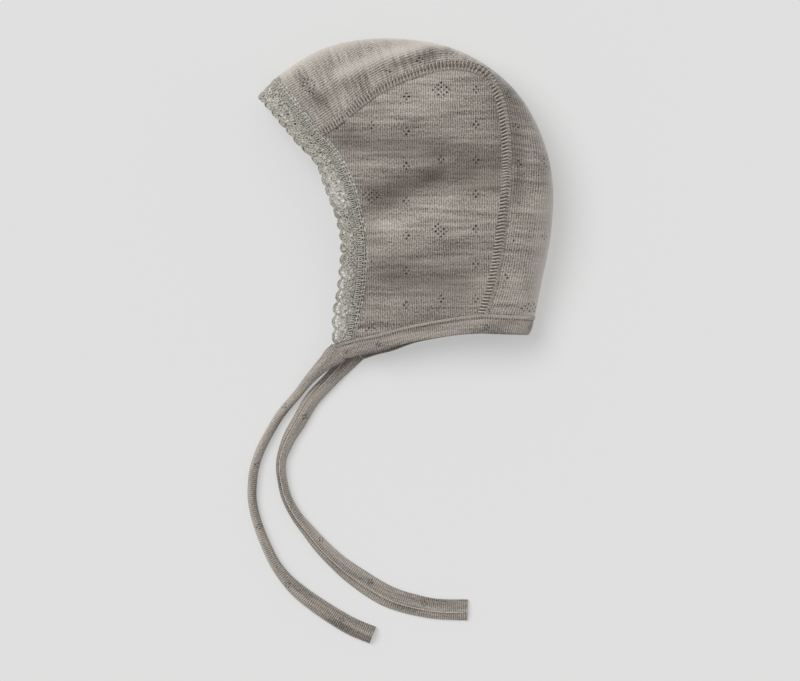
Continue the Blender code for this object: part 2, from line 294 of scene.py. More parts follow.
def scaled(x_share, y_share, height_share=0.0):
    """Points from their shares of the bonnet's depth, height and thickness."""
    x, y, z = together(x_share, y_share, height_share)
    return np.stack([x * HAT_DEPTH, y * HAT_HEIGHT, z * HAT_THICKNESS], -1)


def mix(a, b, share):
    """Between two arrays of points."""
    share = np.asarray(share)[..., None]
    return a * (1 - share) + b * share


def unit(vectors):
    """Vectors of length 1."""
    return vectors / np.maximum(np.linalg.norm(vectors, axis=-1, keepdims=True), 1e-12)


def bell(value, centre, width):
    """A bell curve: 1 at its centre, and about a third a width away."""
    return np.exp(-((value - centre) / width) ** 2)


def together(*values):
    """Numbers and arrays as arrays of one shape."""
    return np.broadcast_arrays(*(np.asarray(value, float) for value in values))


def run_along(points):
    """Distances along a line of points, from 0."""
    steps = np.linalg.norm(np.diff(points, axis=0), axis=1)
    return np.concatenate([[0], np.cumsum(steps)])


def read_rows(distance, values, along):
    """Values, or rows of three values, at distances along a line."""
    if values.ndim == 1:
        return np.interp(along, distance, values)
    return np.stack([np.interp(along, distance, values[:, axis]) for axis in range(3)], -1)


def soft_lines(point, folds):
    """The strongest crest and hollow of some soft lines at each point, added up."""
    crest = np.zeros(point.shape[:-1])
    hollow = np.zeros(point.shape[:-1])
    for fold in folds:
        start = scaled(fold.from_x, fold.from_y)[:2]
        line = scaled(fold.to_x, fold.to_y)[:2] - start
        along = np.clip((point[..., :2] - start) @ line / (line @ line), 0, 1)
        away = point[..., :2] - start - along[..., None] * line
        distance = np.hypot(away[..., 0], away[..., 1])
        amount = fold.amount * np.exp(-(distance / (fold.half_width * HAT_DEPTH)) ** 2)
        crest = np.maximum(crest, amount)
        hollow = np.minimum(hollow, amount)
    return crest + hollow


def fold_rise(point, folds):
    """How far folds or creases lift or sink the upper wall at each point."""
    return soft_lines(point, folds) * HAT_THICKNESS


def lifted(point, rise):
    """Points moved up by a rise each."""
    moved = point.copy()
    moved[..., 2] += rise
    return moved


def laid(point, wall):
    """Points brought down to the lower side, with the front end of the band pushed back."""
    corner = scaled(NECK_EDGE[0].outer_x, NECK_EDGE[0].outer_y)
    distance = np.hypot(point[..., 0] - corner[0], point[..., 1] - corner[1])
    moved = point.copy()
    moved[..., 0] += FAR_CORNER_SHIFT * np.maximum(0, 1 - distance / FAR_CORNER_REACH) ** 2
    moved[..., 2] = wall / 2
    return moved


def centre_point(along, across, wall=KNIT_WALL):
    """The centre panel's surface: across is 0 at the upper seam and 1 at the lower one."""
    along, across = together(along, across)
    row = smooth(SECTIONS, along)
    crown = scaled(row.crown_x, row.crown_y, CROWN_LINE * row.height)
    upper = across < 0.5
    near = scaled(row.near_x, row.near_y, row.height)
    far = laid(scaled(row.far_x, row.far_y), wall)
    foot = np.where(upper[..., None], near, far)
    angle = np.abs(1 - 2 * across) * math.pi / 2
    outward = np.maximum(np.cos(angle), 0) ** (2 / ROUNDNESS)
    level = np.sin(angle) ** (2 / ROUNDNESS)
    point = mix(foot, crown, outward)
    point[..., 2] = crown[..., 2] + (foot[..., 2] - crown[..., 2]) * level
    share = np.where(upper, level, 0)
    rise = fold_rise(point, FOLDS) + fold_rise(point, CREASES)
    return lifted(point, share * rise)


def edge_point(table, along, outward, wall=None):
    """Points between an edge's two lines, on the lower side if a wall is given."""
    along, outward = together(along, outward)
    row = smooth(table, along)
    inner = scaled(row.inner_x, row.inner_y, row.height)
    outer = scaled(row.outer_x, row.outer_y, row.height)
    point = mix(inner, outer, outward)
    if wall is not None:
        return laid(point, wall)
    return lifted(point, fold_rise(point, FOLDS) + fold_rise(point, CREASES))


def side_point(u, v, wall=None):
    """A side panel's surface: u runs from the face to the back, v from the neck upward."""
    u, v = together(u, v)
    seam = 0.0 if wall is None else 1.0

    def left(share):
        return edge_point(FRONT_EDGE, share, 0, wall)

    def right(share):
        return centre_point(1 + (TURN - 1) * share, seam)

    def bottom(share):
        return edge_point(NECK_EDGE, LACE_END + (1 - LACE_END) * share, 0, wall)

    def top(share):
        return centre_point(TURN * share, seam)

    zero, one = np.zeros(1), np.ones(1)
    across = mix(left(v), right(v), u)
    upward = mix(bottom(u), top(u), v)
    corners = mix(mix(bottom(zero), bottom(one), u), mix(top(zero), top(one), u), v)
    point = across + upward - corners
    if wall is not None:
        return point
    inside = np.maximum(16 * u * (1 - u) * v * (1 - v), 0)
    rise = SIDE_DOME * HAT_THICKNESS * inside + inside ** 0.5 * fold_rise(point, FOLDS)
    return lifted(point, rise + inside ** 0.25 * fold_rise(point, CREASES))


def pucker(along, distance):
    """Small gathers that a seam pulls into the knit beside it."""
    wave = np.sin(along * math.tau / 0.0071) + 0.6 * np.sin(along * math.tau / 0.0043 + 1.3)
    fade = np.exp(-(distance / 0.0045)) * np.clip(distance / 0.0018, 0, 1)
    return PUCKER_RISE * wave * fade


def waviness(point):
    """The slight unevenness of slack knit."""
    x, y = point[..., 0], point[..., 1]
    wave = np.sin(230 * x + 90 * y + 0.7) * np.sin(170 * y - 60 * x + 2.1)
    wave += 0.6 * np.sin(410 * x - 150 * y + 1.9) * np.sin(380 * y + 0.4)
    return SLACK_RISE * wave


def upper_side(u, v):
    """The upper side panel with its small unevenness."""
    point = side_point(u, v)
    width, height = SIDE_SPAN
    ripple = pucker(TURN * u * SEAM_LENGTH, (1 - v) * height)
    ripple += pucker((1 + (TURN - 1) * v) * SEAM_LENGTH, (1 - u) * width)
    ripple += pucker(0.4 + u * width, v * height) + pucker(0.7 + v * height, u * width)
    inside = np.clip(16 * u * (1 - u) * v * (1 - v), 0, 1) ** 0.5
    return lifted(point, ripple + inside * waviness(point))


def lower_side(u, v):
    """The lower side panel, flat on the floor."""
    return side_point(u, v, KNIT_WALL)


def centre_cloth(across, along):
    """The centre panel with its small unevenness."""
    point = centre_point(along, across)
    upper = np.clip(1 - 2 * across, 0, 1)
    ripple = pucker(along * SEAM_LENGTH, across * CENTRE_SPAN) * (across < 0.5)
    return lifted(point, ripple + waviness(point) * np.sin(upper * math.pi))


# Ribbons: a line with a width, along which bands, seams, lace and ties are laid

def even_out(values, reach):
    """Rows averaged with their neighbours on either side."""
    padded = np.pad(values, ((reach, reach), (0, 0)), mode="edge")
    window = np.hanning(2 * reach + 3)[1:-1]
    window /= window.sum()
    return np.stack([np.convolve(padded[:, axis], window, mode="valid") for axis in range(3)], 1)


class Ribbon:
    """A line on the bonnet with the direction across it and the direction out of it."""

    def __init__(self, inner, outer, soften=14):
        steps = np.linalg.norm(np.diff(inner, axis=0), axis=1)
        keep = np.concatenate([[True], steps > 1e-6])
        inner, outer = inner[keep], outer[keep]
        rough = run_along(inner)
        self.length = rough[-1]
        self.distance = np.linspace(0, self.length, RIBBON_STEPS)
        self.base = read_rows(rough, inner, self.distance)
        reach = even_out(read_rows(rough, outer - inner, self.distance), soften)
        self.wide = np.linalg.norm(reach, axis=1)
        self.heading = unit(np.gradient(even_out(self.base, 6), self.distance, axis=0))
        self.across = unit(reach)
        self.out = unit(np.cross(self.across, self.heading))
        if self.out[0, 2] < 0:
            self.out = -self.out

    def read(self, values, along):
        """A value of the ribbon at distances along it."""
        return read_rows(self.distance, values, along)

    def at(self, along, across, height):
        """Points at distances along and across the ribbon, and at heights above it."""
        along, across, height = together(along, across, height)
        point = self.read(self.base, along)
        point = point + self.read(self.across, along) * across[..., None]
        point = point + self.read(self.out, along) * height[..., None]
        point[..., 2] = np.maximum(point[..., 2], 0.0001)
        return point

    def width(self, along):
        """The ribbon's width at distances along it."""
        return self.read(self.wide, along)


def edging(table, centre_along, reach_out, wall):
    """The ribbon of an opening's whole edge, from its upper front end to the lower one."""
    share = np.linspace(0, 1, 160)[:-1]
    upper = [edge_point(table, share, outward) for outward in (0, 1)]
    lower = [edge_point(table, share[::-1], outward, wall) for outward in (0, 1)]
    one = np.ones(1)
    side_reach = (edge_point(table, one, 1) - edge_point(table, one, 0))[0]
    across = np.linspace(0, 1, 120)
    inner = centre_point(centre_along, across, wall)
    turn = np.sin(across * math.pi)
    reach = mix(np.broadcast_to(side_reach, inner.shape), scaled(*reach_out), turn)
    reach[:, 2] = 0
    return Ribbon(np.concatenate([upper[0], inner, lower[0]]),
                  np.concatenate([upper[1], inner + reach, lower[1]]))


def upper_seam():
    """The ribbon of the upper seam: across it runs from the side to the centre panel."""
    along = np.linspace(0.002, 0.998, 500)
    line = centre_point(along, 0.0)
    toward_centre = centre_point(along, 0.04) - line
    u = np.where(along <= TURN, along / TURN, 1.0)
    v = np.where(along <= TURN, 1.0, (1 - along) / (1 - TURN))
    toward_side = side_point(u + (0.5 - u) * 0.05, v + (0.5 - v) * 0.05) - line
    heading = unit(np.gradient(line, axis=0))
    sides = []
    for toward in (toward_side, toward_centre):
        toward = toward - heading * np.sum(toward * heading, -1, keepdims=True)
        sides.append(unit(toward) * SEAM_HALF_WIDTH)
    return Ribbon(line + sides[0], line + sides[1], 8)


def spots(along, across, places, radius):
    """How near each point is to the closest of some places, from 0 to 1."""
    near = np.zeros(np.broadcast(along, across).shape)
    for place_along, place_across in places:
        square = (along - place_along) ** 2 + (across - place_across) ** 2
        near = np.maximum(near, np.exp(-square / radius ** 2))
    return near


def diamond(centre_along, centre_across, size, step_along, step_across):
    """Places of the eyelets of one motif."""
    places = []
    for a in range(size):
        for b in range(size):
            places.append((centre_along + (a - b) * step_along,
                           centre_across + (a + b - size + 1) * step_across))
    return places


def pit_places(motifs):
    """Places of the small blind eyelets of the motifs on a band or tie."""
    return [place for motif in motifs for place in diamond(*motif, 2, PIT_STEP, PIT_STEP)]


# Building helpers

def finish_piece(piece, name, material, replaced=()):
    """Names a piece, gives it its material and ties it to the frame."""
    piece.data.transform(Matrix.Translation(FRAME_SHIFT))
    piece.name = piece.data.name = name
    piece.data.materials.append(material)
    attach(piece, "root")
    if replaced:
        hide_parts(*replaced)
    return piece


def only(piece):
    """Selects one piece alone and makes it active."""
    bpy.ops.object.select_all(action="DESELECT")
    piece.select_set(True)
    bpy.context.view_layer.objects.active = piece


def grid(columns, rows):
    """A unit grid and the u and v of its corners."""
    bpy.ops.mesh.primitive_grid_add(x_subdivisions=columns, y_subdivisions=rows, size=1)
    piece = bpy.context.object
    flat = np.empty(len(piece.data.vertices) * 3)
    piece.data.vertices.foreach_get("co", flat)
    flat = flat.reshape(-1, 3)
    return piece, flat[:, 0] + 0.5, flat[:, 1] + 0.5


def quads(piece):
    """The four corner numbers of each face of a grid."""
    corner = np.empty(len(piece.data.loops), dtype=np.int32)
    piece.data.loops.foreach_get("vertex_index", corner)
    return corner.reshape(-1, 4)


def shape(piece, points, knit, marks):
    """Sets a grid's corners, its knit map in metres and a mark on each corner."""
    mesh = piece.data
    mesh.vertices.foreach_set("co", points.astype(np.float32).ravel())
    layer = mesh.uv_layers[0]
    layer.name = "knit"
    layer.data.foreach_set("uv", knit[quads(piece).ravel()].astype(np.float32).ravel())
    attribute = mesh.attributes.new("mark", "FLOAT", "POINT")
    attribute.data.foreach_set("value", marks.astype(np.float32))
    mesh.update()


def solidify(piece, wall):
    """Gives an open sheet its wall, half on each side."""
    only(piece)
    modifier = piece.modifiers.new("wall", "SOLIDIFY")
    modifier.thickness = wall
    modifier.offset = 0
    bpy.ops.object.modifier_apply(modifier=modifier.name)
    bpy.ops.object.shade_smooth()


def delete_faces(piece, chosen):
    """Deletes the faces that a list of yes and no picks out."""
    only(piece)
    bpy.ops.object.mode_set(mode="EDIT")
    bpy.ops.mesh.select_mode(type="FACE")
    bpy.ops.mesh.select_all(action="DESELECT")
    bpy.ops.object.mode_set(mode="OBJECT")
    piece.data.polygons.foreach_set("select", chosen)
    bpy.ops.object.mode_set(mode="EDIT")
    bpy.ops.mesh.delete(type="FACE")
    bpy.ops.object.mode_set(mode="OBJECT")


def closed(piece, merge_distance, open_ends=False):
    """Merges a piece's doubled corners, fills its open ends and turns its faces outward."""
    only(piece)
    bpy.ops.object.mode_set(mode="EDIT")
    bpy.ops.mesh.select_all(action="SELECT")
    bpy.ops.mesh.remove_doubles(threshold=merge_distance)
    if open_ends:
        bpy.ops.mesh.select_all(action="DESELECT")
        bpy.ops.mesh.select_mode(type="EDGE")
        bpy.ops.mesh.select_non_manifold(extend=False)
        bpy.ops.mesh.fill()
        bpy.ops.mesh.select_all(action="SELECT")
    bpy.ops.mesh.normals_make_consistent(inside=False)
    bpy.ops.object.mode_set(mode="OBJECT")
    bpy.ops.object.shade_smooth()
    return piece


def tube_sheet(columns, profile_rows, place, knit_of, marks_of):
    """A closed tape: a grid rolled up across its rows, with its seam merged and ends filled."""
    piece, u, v = grid(columns, profile_rows)
    shape(piece, place(u, v), knit_of(u, v), marks_of(u, v))
    return closed(piece, 0.000002, open_ends=True)


def strands(lines, radius, sides=0):
    """One mesh of round threads along lines of points."""
    curve = bpy.data.curves.new("strands", "CURVE")
    curve.dimensions = "3D"
    curve.bevel_depth = radius
    curve.bevel_resolution = sides
    curve.use_fill_caps = True
    for line in lines:
        spline = curve.splines.new("POLY")
        spline.points.add(len(line) - 1)
        flat = np.concatenate([line, np.ones((len(line), 1))], 1)
        spline.points.foreach_set("co", flat.ravel())
    piece = bpy.data.objects.new("strands", curve)
    bpy.context.collection.objects.link(piece)
    only(piece)
    bpy.ops.object.convert(target="MESH")
    return closed(bpy.context.object, 0.00001)


# Materials

class Nodes:
    """Short ways to add and join shader nodes."""

    def __init__(self, name):
        self.material = bpy.data.materials.new(name)
        self.material.use_nodes = True
        self.tree = self.material.node_tree
        self.shader = self.tree.nodes["Principled BSDF"]

    def feed(self, node, inputs):
        """Joins outputs to a node's inputs, or sets plain values on them."""
        for key, value in inputs.items():
            if isinstance(value, bpy.types.NodeSocket):
                self.tree.links.new(value, node.inputs[key])
            else:
                node.inputs[key].default_value = value

    def add(self, kind, inputs=(), **settings):
        """A new node with its settings, and its inputs by name or by number."""
        node = self.tree.nodes.new("ShaderNode" + kind)
        for key, value in settings.items():
            setattr(node, key, value)
        self.feed(node, dict(inputs))
        return node

    def math(self, operation, a, b=0.0, c=0.0):
        """A Math node's value."""
        return self.add("Math", enumerate((a, b, c)), operation=operation).outputs[0]

    def wave(self, distance, pitch):
        """A smooth wave from 0 to 1 with a pitch in metres."""
        turn = self.math("MULTIPLY", distance, math.tau / pitch)
        return self.math("MULTIPLY_ADD", self.math("COSINE", turn), 0.5, 0.5)

    def noise(self, vector, scale, detail, roughness):
        """A Noise node's value."""
        inputs = {"Vector": vector, "Scale": scale, "Detail": detail, "Roughness": roughness}
        return self.add("TexNoise", inputs).outputs["Fac"]

    def stretched(self, u, v, scale_u, scale_v, detail=2.0, roughness=0.5, layer=0.0):
        """Noise on the knit map with a scale each way."""
        scaled_map = (self.math("MULTIPLY", u, scale_u), self.math("MULTIPLY", v, scale_v), layer)
        vector = self.add("CombineXYZ", enumerate(scaled_map)).outputs[0]
        return self.noise(vector, 1.0, detail, roughness)

    def knit_map(self):
        """The two distances of the knit map."""
        source = self.add("UVMap", uv_map="knit")
        return self.add("SeparateXYZ", {0: source.outputs[0]}).outputs[:2]

    def mark(self):
        """The mark on each corner."""
        return self.add("Attribute", attribute_name="mark").outputs["Fac"]

    def fit(self, value, low, high, to_low=0.0, to_high=1.0):
        """A value brought from one range to another, and clamped."""
        return self.add("MapRange", enumerate((value, low, high, to_low, to_high))).outputs[0]

    def blend(self, share, a, b, mode="MIX"):
        """Two colours mixed."""
        inputs = {"Factor": share}
        for key, value in ((6, a), (7, b)):
            inputs[key] = (*value, 1.0) if isinstance(value, tuple) else value
        return self.add("Mix", inputs, data_type="RGBA", blend_type=mode).outputs[2]

    def bump(self, height, distance, strength):
        """A bump from a height of 0 to 1."""
        inputs = {"Height": height, "Distance": distance, "Strength": strength}
        self.feed(self.shader, {"Normal": self.add("Bump", inputs).outputs[0]})

    def yarn(self, colour, roughness, sheen):
        """A matt fibre finish of a colour."""
        self.feed(self.shader, {
            "Base Color": colour, "Roughness": roughness, "Specular IOR Level": 0.25,
            "Sheen Weight": sheen, "Sheen Roughness": 0.4, "Sheen Tint": (0.97, 0.935, 0.895, 1),
        })
        return self.material


YARN_LIGHT = (0.60, 0.545, 0.49)
YARN_MIDDLE = (0.31, 0.277, 0.246)
YARN_DARK = (0.085, 0.071, 0.062)
YARN_WARM = (0.50, 0.43, 0.34)
YARN_PALE_AND_HIGHLIGHT = (0.73, 0.675, 0.605)
NEEDLE_AND_SHADE_DARK = (0.056, 0.036, 0.028)
LACE_PALE = (0.72, 0.69, 0.615)
LACE_MIDDLE = (0.42, 0.402, 0.352)
LACE_DARK = (0.085, 0.079, 0.064)
LACE_GLINT = (0.86, 0.85, 0.81)


def melange_knit(name, shade=1.0, contrast=1.0):
    """Melange knit: light and dark yarn in wales along the knit map's second distance."""
    n = Nodes(name)
    u, v = n.knit_map()
    wander = n.stretched(u, v, 110, 150)
    bent = n.math("MULTIPLY_ADD", n.math("SUBTRACT", wander, 0.5), 0.0012, u)
    wale = n.wave(bent, WALE)
    lean = n.math("ABSOLUTE", n.math("SINE", n.math("MULTIPLY", bent, math.pi / WALE)))
    loop = n.wave(n.math("MULTIPLY_ADD", lean, 0.0006, v), 0.00105)
    dashes = n.stretched(u, v, 1300, 950, 2, 0.6)
    streaks = n.stretched(u, v, 28, 400, 4, 0.68)
    clouds = n.stretched(u, v, 16, 70, 3, 0.6, 3.0)
    warm = n.stretched(u, v, 42, 300, 2, 0.5, 7.0)
    level = n.math("MULTIPLY_ADD", wale, 0.42 * contrast, 0.03)
    level = n.math("ADD", level, n.fit(dashes, 0.30, 0.70, -0.04, 0.60 * contrast))
    level = n.math("ADD", level, n.fit(streaks, 0.3, 0.7, -0.26, 0.26))
    level = n.math("ADD", level, n.fit(clouds, 0.32, 0.68, -0.14, 0.14))
    level = n.math("MULTIPLY_ADD", loop, 0.10 * contrast, level)
    dark_half = n.blend(n.fit(level, 0.09, 0.48), YARN_DARK, YARN_MIDDLE)
    colour = n.blend(n.fit(level, 0.48, 1.02), dark_half, YARN_LIGHT)
    colour = n.blend(n.fit(warm, 0.60, 0.74, 0.0, 0.35), colour, YARN_WARM)
    mark = n.mark()
    # Positive marks darken the knit: the real needle lines and seam dots, and painted shade in folds, round
    # eyelets, in pits and along edges.
    colour = n.blend(n.fit(mark, 0.0, 1.0, 0.0, 0.9), colour, NEEDLE_AND_SHADE_DARK)
    # Negative marks pale the knit toward the pale yarn colour: painted highlights on the crown ridge,
    # outline and band nape, painted light along the ties, and the paler band cord.
    colour = n.blend(n.fit(mark, 0.0, -1.0, 0.0, 0.85), colour, YARN_PALE_AND_HIGHLIGHT)
    if shade != 1.0:
        colour = n.blend(1.0, colour, (shade, shade, shade), "MULTIPLY")
    height = n.math("MULTIPLY_ADD", loop, 0.2, n.math("MULTIPLY", wale, 0.7))
    height = n.math("MULTIPLY_ADD", dashes, 0.35, height)
    n.bump(height, 0.00035, 0.9)
    return n.yarn(colour, 0.92, 0.6)


def thread(name, light, dark):
    """Sewing or lace thread with a slight unevenness."""
    n = Nodes(name)
    place = n.add("TexCoord").outputs["Object"]
    patches = n.noise(place, 800.0, 3, 0.6)
    fibres = n.noise(place, 4200.0, 2, 0.6)
    share = n.math("MULTIPLY_ADD", fibres, 0.35, n.fit(patches, 0.3, 0.7, 0.0, 0.75))
    n.bump(fibres, 0.0001, 0.6)
    return n.yarn(n.blend(share, dark, light), 0.8, 0.3)


def lace_cloth(name, needle_rows):
    """Close lace ground: pale yarn with rows of dark needle holes along it."""
    n = Nodes(name)
    u, v = n.knit_map()
    shift = n.math("MULTIPLY_ADD", n.stretched(u, v, 300, 300), 0.0008, u)
    mottle = n.stretched(u, v, 950, 800, 3, 0.65)
    mark = n.mark()
    # Positive marks are painted shade at the pits and on the darker lace lengths. Negative marks pale toward
    # the glint colour.
    dark = n.fit(mark, 0.0, 1.0)
    for centre, half, pitch in needle_rows:
        gate = n.fit(n.math("ABSOLUTE", n.math("SUBTRACT", v, centre)), half, half * 0.4)
        row = n.math("MULTIPLY", gate, n.fit(n.wave(shift, pitch), 0.35, 0.85))
        dark = n.math("MAXIMUM", dark, row)
    colour = n.blend(n.fit(mottle, 0.36, 0.56), LACE_DARK, LACE_MIDDLE)
    colour = n.blend(n.fit(mottle, 0.51, 0.67), colour, LACE_PALE)
    colour = n.blend(n.math("MULTIPLY", dark, 0.85), colour, tuple(0.4 * c for c in LACE_DARK))
    colour = n.blend(n.fit(mark, 0.0, -1.0), colour, LACE_GLINT)
    n.bump(n.math("SUBTRACT", mottle, dark), 0.0004, 0.9)
    return n.yarn(colour, 0.85, 0.4)


# Knitted panels

def small_and_large(columns, rows, sway, pitch):
    """Centres and sizes of the eyelet motifs, with the larger ones on every second column."""
    motifs = []
    for column in columns:
        for row in rows:
            pair = column // 2
            size = 2
            if column % 2 == 0:
                if (row + 1 + pair) % 2 != 0:
                    continue
                if ((row + 1 + pair) // 2 + pair) % 2 == 0:
                    size = 4
            motifs.append((column * pitch[0], -row * pitch[1] + sway[column % 4], size))
    return motifs


def eyelets(motifs, origin):
    """Centres of all the eyelets of some motifs."""
    holes = []
    for across, along, size in motifs:
        steps = (0.0012, 0.0016) if size == 2 else (0.00145, 0.0013)
        holes += diamond(across, along, size, *steps)
    return np.array(holes) + np.array(origin)


def knit_panel(name, size, surface, knit_of, holes, painted_shading, material, replaced):
    """A knitted panel: a fine grid, cut at the eyelets and given its wall."""
    columns, rows = size
    margin = HOLE_MARGIN
    piece, u, v = grid(columns, rows)
    faces = quads(piece)
    knit = knit_of(u, v)
    centres = knit[faces].mean(axis=1)
    finder = KDTree(len(centres))
    for index, centre in enumerate(centres):
        finder.insert((*centre, 0), index)
    finder.balance()
    marks = np.zeros(len(u))
    cut = np.zeros(len(faces), dtype=bool)
    for number, hole in enumerate(holes):
        _, index, distance = finder.find((*hole, 0))
        corners = faces[index]
        cell_u, cell_v = u[corners].mean() * columns, v[corners].mean() * rows
        inside = margin < cell_u < columns - margin and margin < cell_v < rows - margin
        if distance > KNIT_CELL or not inside or cut[index]:
            continue
        cut[index] = True
        corners = corners[np.lexsort((u[corners], np.round(v[corners] * rows)))]
        base = knit[corners[0]].copy()
        du = (knit[corners[1]] - base) * columns
        dv = (knit[corners[2]] - base) * rows
        change = np.linalg.inv(np.stack([du, dv], 1))
        anchor = np.array([u[corners[0]], v[corners[0]]])
        radius = HOLE_RADIUS * (1 + 0.22 * math.sin(number * 2.7))
        for corner, side, up in zip(corners, (-1, 1, -1, 1), (-1, -1, 1, 1)):
            goal = hole + np.array([side, up]) * radius * math.sqrt(0.5)
            u[corner], v[corner] = anchor + change @ (goal - base)
            # Painted shade round the hole.
            marks[corner] = HOLE_PAINTED_SHADE
    points = surface(u, v)
    # Each corner's mark adds the painted shade round the eyelets to the panel's painted light and shade.
    shape(piece, points, knit_of(u, v), marks + painted_shading(u, points))
    delete_faces(piece, cut)
    solidify(piece, KNIT_WALL)
    finish_piece(piece, name, material, replaced)


def build_side_panels(material):
    """The upper and the lower side panel, whose wales run straight up the bonnet."""
    sway = (EYELET_SWAY, 0.0, EYELET_SWAY, EYELET_SWAY)
    motifs = small_and_large(range(-1, 5), range(-3, 9), sway, EYELET_PITCH)
    holes = eyelets(motifs, SIDE_EYELETS)
    # The upper panel's marks carry painted shade: a little darker all over, plus the painted fold shade and
    # highlights. The lower panel gets none.
    knit_panel("side_panel_left_knit", SIDE_GRID, upper_side,
               lambda u, v: side_point(u, v)[:, :2], holes,
               lambda u, points: 0.10 + soft_lines(points, PAINTED_LIGHT_AND_SHADE), material, ["side_panel_left"])
    knit_panel("side_panel_right_knit", SIDE_GRID, lower_side,
               lambda u, v: lower_side(u, v)[:, :2], holes + LOWER_EYELETS_SHIFT,
               lambda u, points: 0.0, material, ["side_panel_right"])


def build_centre_panel(material):
    """The panel over the crown, whose wales run along it."""
    columns, rows = CENTRE_GRID
    across = np.linspace(0, 1, columns + 1)
    along = np.linspace(0, 1, rows + 1)
    points = centre_point(along[:, None], across[None, :])
    steps = np.linalg.norm(np.diff(points, axis=1) * (1, 1, 0.6), axis=2) * WALE_EASE
    arc = np.concatenate([np.zeros((rows + 1, 1)), np.cumsum(steps, axis=1)], axis=1)
    run = run_along(points[:, columns // 4])

    def knit_of(u, v):
        column = np.clip(u, 0, 1) * columns
        row = np.clip(v, 0, 1) * rows
        left = np.minimum(column.astype(int), columns - 1)
        low = np.minimum(row.astype(int), rows - 1)
        fu, fv = column - left, row - low
        below = arc[low, left] * (1 - fu) + arc[low, left + 1] * fu
        above = arc[low + 1, left] * (1 - fu) + arc[low + 1, left + 1] * fu
        return np.stack([below * (1 - fv) + above * fv, np.interp(v, along, run)], 1)

    # Painted shade and highlights from the table, plus a painted highlight along the rounded outline of the
    # crown.
    def painted_shading(u, points):
        return soft_lines(points, PAINTED_LIGHT_AND_SHADE) - 1.1 * bell(u, 0.5, 0.15)

    sway = (0.0, EYELET_SWAY, 0.0, EYELET_SWAY)
    motifs = small_and_large(range(-1, 4), range(-14, 1), sway, CENTRE_PITCH)
    knit_panel("centre_panel_knit", CENTRE_GRID, centre_cloth, knit_of,
               eyelets(motifs, CENTRE_EYELETS), painted_shading, material, ["centre_panel"])


# Seam threads

def build_seam(cloth, pale_thread):
    """The flat seam round the upper side panel: a raised bed and its overlock stitches."""
    seam = upper_seam()
    stitches = round(seam.length / SEAM_PITCH)
    pitch = seam.length / stitches
    turn = TURN * seam.length

    def back_share(along):
        return np.clip((along - turn + 0.012) / 0.024, 0, 1)

    piece, u, v = grid(stitches * 6, 20)
    along = u * seam.length
    back = back_share(along)
    groove = np.exp(-((v - 0.46 + 0.08 * back) / (0.12 + 0.12 * back)) ** 2)
    low_edge = bell(v, 0.07, 0.06) * (1 - back)
    lean = FRONT_LEAN + (BACK_LEAN - FRONT_LEAN) * back
    dots = 0.5 + 0.5 * np.cos((along - lean * (v - 0.5)) * math.tau / pitch)
    rise = 0.00015 + SEAM_RISE * np.sin(v * math.pi) ** 0.85 - 0.0003 * groove * dots
    top_row = bell(v, 0.80, 0.14) * (1 - back)
    marks = groove * (2.6 * dots ** 1.4 - 0.5) + (0.30 + 0.30 * low_edge + 0.45 * top_row) * dots
    marks = np.clip(marks - 0.08, -0.5, 1)
    knit = np.stack([along * WALE / pitch, v * 2 * SEAM_HALF_WIDTH], 1)
    shape(piece, seam.at(along, v * seam.width(along), rise), knit, marks)
    solidify(piece, SEAM_BED_WALL)
    finish_piece(piece, "crown_seam_bed", cloth)

    thick, thin = [], []
    share = np.array([0.0, 0.18, 0.5, 0.82, 1.0])
    arch = np.array([0.75, 1.30, 1.42, 1.30, 0.75]) * MM
    for number in range(stitches):
        start = (number + 0.5) * pitch + 0.00012 * math.sin(number * 2.4)
        width = float(seam.width(start))
        if back_share(start) < 0.5:
            rows = ((0.60, 1.0, FRONT_LEAN, thick), (0.03, 0.30, -0.0004, thin))
        else:
            rows = ((0.05, 0.72, BACK_LEAN, thick), (0.66, 1.0, FRONT_LEAN, thin))
        for low, high, lean, bunch in rows:
            across = (low + (high - low) * share) * width
            bunch.append(seam.at(start + lean * (share - 0.5), across, arch))
    finish_piece(strands(thick, SEAM_THREAD, 1), "crown_seam_stitches", pale_thread)
    finish_piece(strands(thin, FINE_SEAM_THREAD), "crown_seam_fine_stitches", pale_thread)


# Band and ties

BAND_STEPS = 44
BAND_FACE = (
    (0.00, -0.10), (0.015, 0.60), (0.05, 0.98), (0.10, 1.12), (0.15, 1.08), (0.19, 0.88),
    (0.225, 0.55), (0.26, 0.58), (0.30, 0.85), (0.38, 1.05), (0.58, 1.20), (0.74, 1.12),
    (0.86, 0.92), (0.94, 0.60), (0.985, 0.20), (1.00, -0.25),
)
BAND_MOTIFS = ((0.0034, 0.0064), (0.0247, 0.0062), (0.0852, 0.0074), (0.1107, 0.0058),
               (0.1362, 0.0074), (0.1967, 0.0062))


def rounded_profile(face, face_steps, back):
    """A closed cross-section: an evenly stepped face and a few points for the back."""
    table = np.array(face)
    share = np.linspace(0, 1, face_steps)
    top = np.stack([share, np.interp(share, table[:, 0], table[:, 1])], 1)
    return np.concatenate([top, np.array(back), top[:1]])


